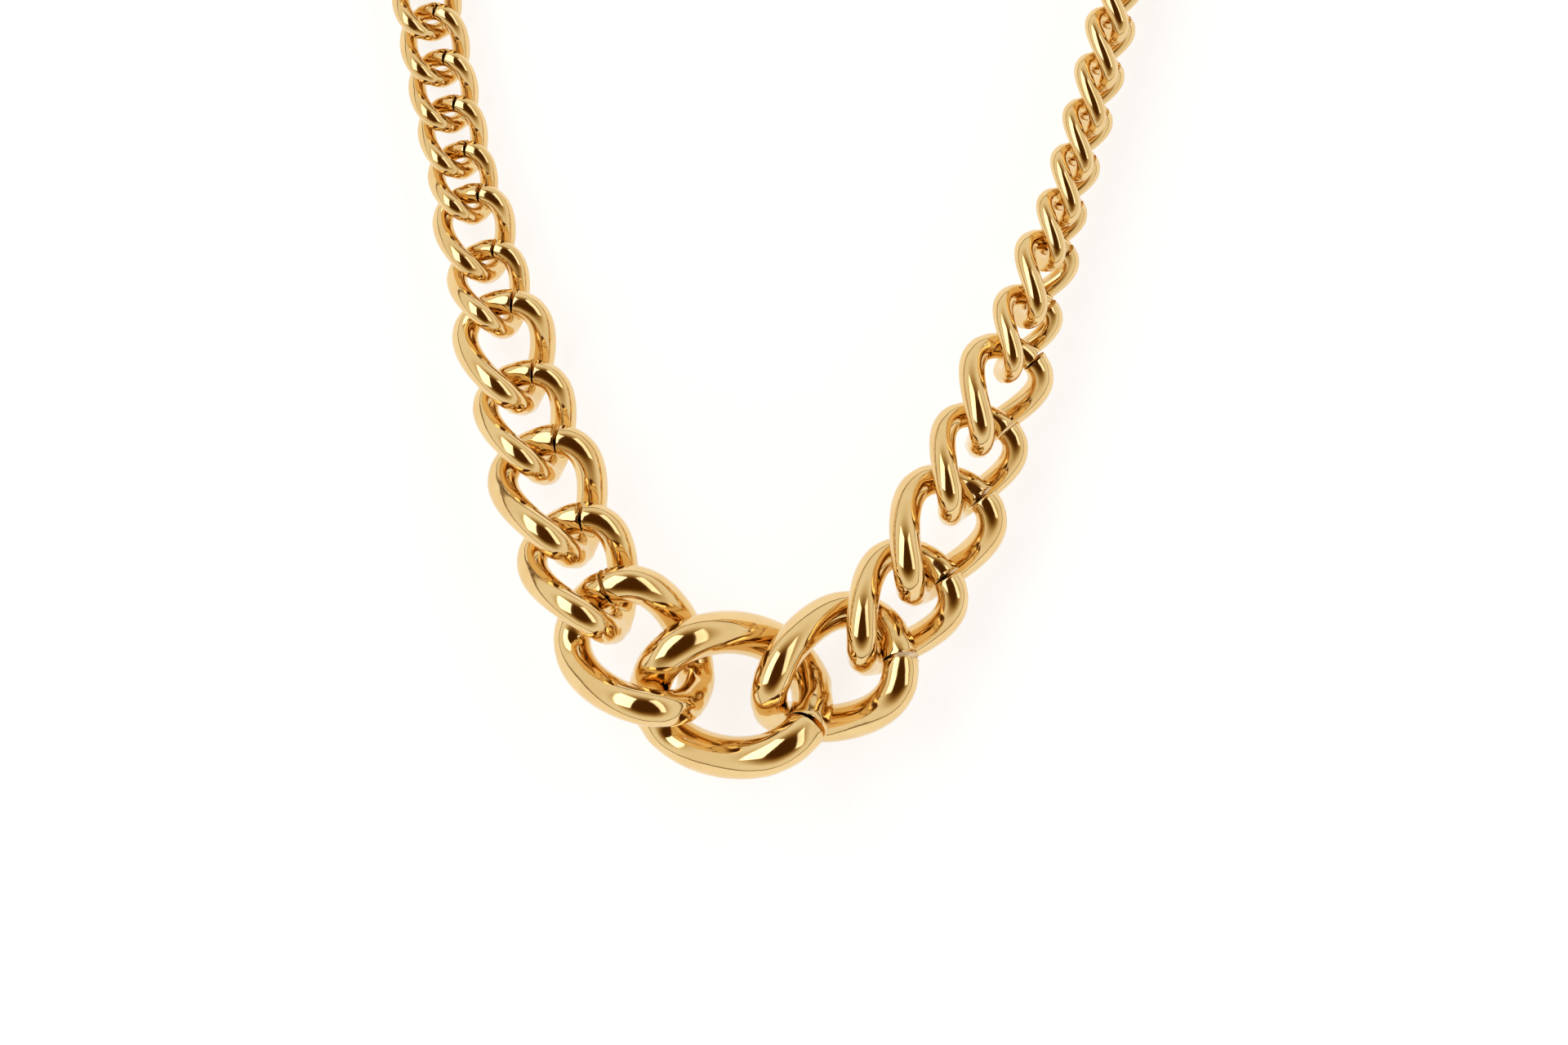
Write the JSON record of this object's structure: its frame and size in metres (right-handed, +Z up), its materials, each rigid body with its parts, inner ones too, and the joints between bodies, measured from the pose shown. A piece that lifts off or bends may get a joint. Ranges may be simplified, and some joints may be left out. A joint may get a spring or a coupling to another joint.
{
  "type": "chain necklace",
  "caption": "Graduated curb-chain necklace of polished gold-coloured round wire, its oval links growing to one big centre link, laid open with a claw clasp and an adjusting chain.",
  "frame": {"origin": "middle of the necklace's bounding box in plan, on the surface it lies on", "axes": "+Z up off the surface, the face of the chain up; +Y from the big centre link towards the clasp end; +X to the arm that carries the claw"},
  "size_m": [0.1438, 0.264, 0.0225],
  "materials": {
    "polished_gold_links": "mirror-polished yellow gold plating",
    "gold_findings": "bright yellow gold plating, lightly cast",
    "spring_steel": "bright drawn spring steel"
  },
  "bodies": {
    "centre_link": {"centre_link": "polished_gold_links"},
    "left_link_01": {"left_link_01": "polished_gold_links"},
    "left_link_02": {"left_link_02": "polished_gold_links"},
    "left_link_03": {"left_link_03": "polished_gold_links"},
    "left_link_04": {"left_link_04": "polished_gold_links"},
    "left_link_05": {"left_link_05": "polished_gold_links"},
    "left_link_06": {"left_link_06": "polished_gold_links"},
    "left_link_07": {"left_link_07": "polished_gold_links"},
    "left_link_08": {"left_link_08": "polished_gold_links"},
    "left_link_09": {"left_link_09": "polished_gold_links"},
    "left_link_10": {"left_link_10": "polished_gold_links"},
    "left_link_11": {"left_link_11": "polished_gold_links"},
    "left_link_12": {"left_link_12": "polished_gold_links"},
    "left_link_13": {"left_link_13": "polished_gold_links"},
    "left_link_14": {"left_link_14": "polished_gold_links"},
    "left_link_15": {"left_link_15": "polished_gold_links"},
    "left_link_16": {"left_link_16": "polished_gold_links"},
    "left_link_17": {"left_link_17": "polished_gold_links"},
    "left_link_18": {"left_link_18": "polished_gold_links"},
    "left_link_19": {"left_link_19": "polished_gold_links"},
    "left_link_20": {"left_link_20": "polished_gold_links"},
    "left_link_21": {"left_link_21": "polished_gold_links"},
    "left_link_22": {"left_link_22": "polished_gold_links"},
    "left_jump_ring": {"left_jump_ring": "gold_findings"},
    "extender_link_1": {"extender_link_1": "gold_findings"},
    "extender_link_2": {"extender_link_2": "gold_findings"},
    "extender_link_3": {"extender_link_3": "gold_findings"},
    "extender_link_4": {"extender_link_4": "gold_findings"},
    "extender_link_5": {"extender_link_5": "gold_findings"},
    "tag_ring": {"tag_ring": "gold_findings"},
    "end_tag": {"end_tag": "gold_findings"},
    "right_link_01": {"right_link_01": "polished_gold_links"},
    "right_link_02": {"right_link_02": "polished_gold_links"},
    "right_link_03": {"right_link_03": "polished_gold_links"},
    "right_link_04": {"right_link_04": "polished_gold_links"},
    "right_link_05": {"right_link_05": "polished_gold_links"},
    "right_link_06": {"right_link_06": "polished_gold_links"},
    "right_link_07": {"right_link_07": "polished_gold_links"},
    "right_link_08": {"right_link_08": "polished_gold_links"},
    "right_link_09": {"right_link_09": "polished_gold_links"},
    "right_link_10": {"right_link_10": "polished_gold_links"},
    "right_link_11": {"right_link_11": "polished_gold_links"},
    "right_link_12": {"right_link_12": "polished_gold_links"},
    "right_link_13": {"right_link_13": "polished_gold_links"},
    "right_link_14": {"right_link_14": "polished_gold_links"},
    "right_link_15": {"right_link_15": "polished_gold_links"},
    "right_link_16": {"right_link_16": "polished_gold_links"},
    "right_link_17": {"right_link_17": "polished_gold_links"},
    "right_link_18": {"right_link_18": "polished_gold_links"},
    "right_link_19": {"right_link_19": "polished_gold_links"},
    "right_link_20": {"right_link_20": "polished_gold_links"},
    "right_link_21": {"right_link_21": "polished_gold_links"},
    "right_link_22": {"right_link_22": "polished_gold_links"},
    "right_jump_ring": {"right_jump_ring": "gold_findings"},
    "claw": {"claw_body": "gold_findings", "lever_pin": "spring_steel", "lever_spring": "spring_steel"},
    "claw_lever": {"claw_lever": "gold_findings"}
  },
  "joints": [
    {"name": "left_link_01_bend", "type": "hinge", "parent": "centre_link", "child": "left_link_01", "pos_m": [-0.01768, -0.11694, 0.01351], "axis": [0, 0, 1], "range_deg": [0, 20]},
    {"name": "left_link_02_bend", "type": "hinge", "parent": "left_link_01", "child": "left_link_02", "pos_m": [-0.02932, -0.10489, 0.01313], "axis": [0, 0, 1], "range_deg": [-4, 16]},
    {"name": "left_link_03_bend", "type": "hinge", "parent": "left_link_02", "child": "left_link_03", "pos_m": [-0.03522, -0.09225, 0.01093], "axis": [0, 0, 1], "range_deg": [-8, 12]},
    {"name": "left_link_04_bend", "type": "hinge", "parent": "left_link_03", "child": "left_link_04", "pos_m": [-0.03976, -0.07906, 0.00885], "axis": [0, 0, 1], "range_deg": [-8, 12]},
    {"name": "left_link_05_bend", "type": "hinge", "parent": "left_link_04", "child": "left_link_05", "pos_m": [-0.04334, -0.06734, 0.00772], "axis": [0, 0, 1], "range_deg": [-8, 12]},
    {"name": "left_link_06_bend", "type": "hinge", "parent": "left_link_05", "child": "left_link_06", "pos_m": [-0.04674, -0.05557, 0.00759], "axis": [0, 0, 1], "range_deg": [-8, 12]},
    {"name": "left_link_07_bend", "type": "hinge", "parent": "left_link_06", "child": "left_link_07", "pos_m": [-0.04927, -0.04626, 0.00587], "axis": [0, 0, 1], "range_deg": [-8, 12]},
    {"name": "left_link_08_bend", "type": "hinge", "parent": "left_link_07", "child": "left_link_08", "pos_m": [-0.05165, -0.03691, 0.00567], "axis": [0, 0, 1], "range_deg": [-8, 12]},
    {"name": "left_link_09_bend", "type": "hinge", "parent": "left_link_08", "child": "left_link_09", "pos_m": [-0.05347, -0.02927, 0.00471], "axis": [0, 0, 1], "range_deg": [-8, 12]},
    {"name": "left_link_10_bend", "type": "hinge", "parent": "left_link_09", "child": "left_link_10", "pos_m": [-0.05517, -0.02161, 0.00454], "axis": [0, 0, 1], "range_deg": [-8, 12]},
    {"name": "left_link_11_bend", "type": "hinge", "parent": "left_link_10", "child": "left_link_11", "pos_m": [-0.05675, -0.01392, 0.00435], "axis": [0, 0, 1], "range_deg": [-8, 12]},
    {"name": "left_link_12_bend", "type": "hinge", "parent": "left_link_11", "child": "left_link_12", "pos_m": [-0.0582, -0.00621, 0.00419], "axis": [0, 0, 1], "range_deg": [-8, 12]},
    {"name": "left_link_13_bend", "type": "hinge", "parent": "left_link_12", "child": "left_link_13", "pos_m": [-0.05954, 0.00153, 0.00407], "axis": [0, 0, 1], "range_deg": [-8, 12]},
    {"name": "left_link_14_bend", "type": "hinge", "parent": "left_link_13", "child": "left_link_14", "pos_m": [-0.06075, 0.00928, 0.00402], "axis": [0, 0, 1], "range_deg": [-8, 12]},
    {"name": "left_link_15_bend", "type": "hinge", "parent": "left_link_14", "child": "left_link_15", "pos_m": [-0.06185, 0.01706, 0.00402], "axis": [0, 0, 1], "range_deg": [-8, 12]},
    {"name": "left_link_16_bend", "type": "hinge", "parent": "left_link_15", "child": "left_link_16", "pos_m": [-0.06282, 0.02485, 0.00402], "axis": [0, 0, 1], "range_deg": [-8, 12]},
    {"name": "left_link_17_bend", "type": "hinge", "parent": "left_link_16", "child": "left_link_17", "pos_m": [-0.06367, 0.03265, 0.00402], "axis": [0, 0, 1], "range_deg": [-8, 12]},
    {"name": "left_link_18_bend", "type": "hinge", "parent": "left_link_17", "child": "left_link_18", "pos_m": [-0.06439, 0.04047, 0.00402], "axis": [0, 0, 1], "range_deg": [-8, 12]},
    {"name": "left_link_19_bend", "type": "hinge", "parent": "left_link_18", "child": "left_link_19", "pos_m": [-0.06499, 0.0483, 0.00402], "axis": [0, 0, 1], "range_deg": [-8, 12]},
    {"name": "left_link_20_bend", "type": "hinge", "parent": "left_link_19", "child": "left_link_20", "pos_m": [-0.06547, 0.05613, 0.00402], "axis": [0, 0, 1], "range_deg": [-8, 12]},
    {"name": "left_link_21_bend", "type": "hinge", "parent": "left_link_20", "child": "left_link_21", "pos_m": [-0.06583, 0.06397, 0.00402], "axis": [0, 0, 1], "range_deg": [-8, 12]},
    {"name": "left_link_22_bend", "type": "hinge", "parent": "left_link_21", "child": "left_link_22", "pos_m": [-0.06606, 0.07182, 0.00402], "axis": [0, 0, 1], "range_deg": [-8, 12]},
    {"name": "left_jump_ring_bend", "type": "hinge", "parent": "left_link_22", "child": "left_jump_ring", "pos_m": [-0.06617, 0.07967, 0.00343], "axis": [0, 0, 1], "range_deg": [-8, 12]},
    {"name": "extender_link_1_bend", "type": "hinge", "parent": "left_jump_ring", "child": "extender_link_1", "pos_m": [-0.06626, 0.08642, 0.00273], "axis": [0, 0, 1], "range_deg": [-8, 12]},
    {"name": "extender_link_2_bend", "type": "hinge", "parent": "extender_link_1", "child": "extender_link_2", "pos_m": [-0.06635, 0.09237, 0.00273], "axis": [0, 0, 1], "range_deg": [-8, 12]},
    {"name": "extender_link_3_bend", "type": "hinge", "parent": "extender_link_2", "child": "extender_link_3", "pos_m": [-0.06643, 0.09832, 0.00273], "axis": [0, 0, 1], "range_deg": [-8, 12]},
    {"name": "extender_link_4_bend", "type": "hinge", "parent": "extender_link_3", "child": "extender_link_4", "pos_m": [-0.06651, 0.10427, 0.00273], "axis": [0, 0, 1], "range_deg": [-8, 12]},
    {"name": "extender_link_5_bend", "type": "hinge", "parent": "extender_link_4", "child": "extender_link_5", "pos_m": [-0.0666, 0.11022, 0.00273], "axis": [0, 0, 1], "range_deg": [-8, 12]},
    {"name": "tag_ring_bend", "type": "hinge", "parent": "extender_link_5", "child": "tag_ring", "pos_m": [-0.06668, 0.11617, 0.00255], "axis": [0, 0, 1], "range_deg": [-8, 12]},
    {"name": "end_tag_bend", "type": "hinge", "parent": "tag_ring", "child": "end_tag", "pos_m": [-0.06674, 0.12051, 0.0019], "axis": [0, 0, 1], "range_deg": [-8, 12]},
    {"name": "right_link_01_bend", "type": "hinge", "parent": "centre_link", "child": "right_link_01", "pos_m": [0.00172, -0.11932, 0.00897], "axis": [0, 0, 1], "range_deg": [-20, 0]},
    {"name": "right_link_02_bend", "type": "hinge", "parent": "right_link_01", "child": "right_link_02", "pos_m": [0.01577, -0.1102, 0.00906], "axis": [0, 0, 1], "range_deg": [-16, 4]},
    {"name": "right_link_03_bend", "type": "hinge", "parent": "right_link_02", "child": "right_link_03", "pos_m": [0.02336, -0.0985, 0.00914], "axis": [0, 0, 1], "range_deg": [-12, 8]},
    {"name": "right_link_04_bend", "type": "hinge", "parent": "right_link_03", "child": "right_link_04", "pos_m": [0.02926, -0.08586, 0.00909], "axis": [0, 0, 1], "range_deg": [-12, 8]},
    {"name": "right_link_05_bend", "type": "hinge", "parent": "right_link_04", "child": "right_link_05", "pos_m": [0.03385, -0.0745, 0.00857], "axis": [0, 0, 1], "range_deg": [-12, 8]},
    {"name": "right_link_06_bend", "type": "hinge", "parent": "right_link_05", "child": "right_link_06", "pos_m": [0.03822, -0.06305, 0.00837], "axis": [0, 0, 1], "range_deg": [-12, 8]},
    {"name": "right_link_07_bend", "type": "hinge", "parent": "right_link_06", "child": "right_link_07", "pos_m": [0.04149, -0.05398, 0.00768], "axis": [0, 0, 1], "range_deg": [-12, 8]},
    {"name": "right_link_08_bend", "type": "hinge", "parent": "right_link_07", "child": "right_link_08", "pos_m": [0.04458, -0.04483, 0.00696], "axis": [0, 0, 1], "range_deg": [-12, 8]},
    {"name": "right_link_09_bend", "type": "hinge", "parent": "right_link_08", "child": "right_link_09", "pos_m": [0.04696, -0.03735, 0.00633], "axis": [0, 0, 1], "range_deg": [-12, 8]},
    {"name": "right_link_10_bend", "type": "hinge", "parent": "right_link_09", "child": "right_link_10", "pos_m": [0.04919, -0.02983, 0.00599], "axis": [0, 0, 1], "range_deg": [-12, 8]},
    {"name": "right_link_11_bend", "type": "hinge", "parent": "right_link_10", "child": "right_link_11", "pos_m": [0.05127, -0.02226, 0.00599], "axis": [0, 0, 1], "range_deg": [-12, 8]},
    {"name": "right_link_12_bend", "type": "hinge", "parent": "right_link_11", "child": "right_link_12", "pos_m": [0.05321, -0.01465, 0.00599], "axis": [0, 0, 1], "range_deg": [-12, 8]},
    {"name": "right_link_13_bend", "type": "hinge", "parent": "right_link_12", "child": "right_link_13", "pos_m": [0.055, -0.00701, 0.00599], "axis": [0, 0, 1], "range_deg": [-12, 8]},
    {"name": "right_link_14_bend", "type": "hinge", "parent": "right_link_13", "child": "right_link_14", "pos_m": [0.05665, 0.00067, 0.00602], "axis": [0, 0, 1], "range_deg": [-12, 8]},
    {"name": "right_link_15_bend", "type": "hinge", "parent": "right_link_14", "child": "right_link_15", "pos_m": [0.05814, 0.00837, 0.00606], "axis": [0, 0, 1], "range_deg": [-12, 8]},
    {"name": "right_link_16_bend", "type": "hinge", "parent": "right_link_15", "child": "right_link_16", "pos_m": [0.05949, 0.01611, 0.00605], "axis": [0, 0, 1], "range_deg": [-12, 8]},
    {"name": "right_link_17_bend", "type": "hinge", "parent": "right_link_16", "child": "right_link_17", "pos_m": [0.0607, 0.02386, 0.00598], "axis": [0, 0, 1], "range_deg": [-12, 8]},
    {"name": "right_link_18_bend", "type": "hinge", "parent": "right_link_17", "child": "right_link_18", "pos_m": [0.06175, 0.03164, 0.00581], "axis": [0, 0, 1], "range_deg": [-12, 8]},
    {"name": "right_link_19_bend", "type": "hinge", "parent": "right_link_18", "child": "right_link_19", "pos_m": [0.06265, 0.03944, 0.0055], "axis": [0, 0, 1], "range_deg": [-12, 8]},
    {"name": "right_link_20_bend", "type": "hinge", "parent": "right_link_19", "child": "right_link_20", "pos_m": [0.0634, 0.04726, 0.00528], "axis": [0, 0, 1], "range_deg": [-12, 8]},
    {"name": "right_link_21_bend", "type": "hinge", "parent": "right_link_20", "child": "right_link_21", "pos_m": [0.064, 0.05508, 0.00497], "axis": [0, 0, 1], "range_deg": [-12, 8]},
    {"name": "right_link_22_bend", "type": "hinge", "parent": "right_link_21", "child": "right_link_22", "pos_m": [0.06446, 0.06292, 0.00479], "axis": [0, 0, 1], "range_deg": [-12, 8]},
    {"name": "right_jump_ring_bend", "type": "hinge", "parent": "right_link_22", "child": "right_jump_ring", "pos_m": [0.06476, 0.07076, 0.00402], "axis": [0, 0, 1], "range_deg": [-12, 8]},
    {"name": "claw_bend", "type": "hinge", "parent": "right_jump_ring", "child": "claw", "pos_m": [0.06502, 0.07751, 0.0025], "axis": [0, 0, 1], "range_deg": [-12, 8]},
    {"name": "claw_lever_pivot", "type": "hinge", "parent": "claw", "child": "claw_lever", "pos_m": [0.06818, 0.08439, 0.0025], "axis": [0, 0, 1], "range_deg": [0, 22], "stiffness_Nm_per_rad": 0.01, "springref_deg": -17.19}
  ]
}
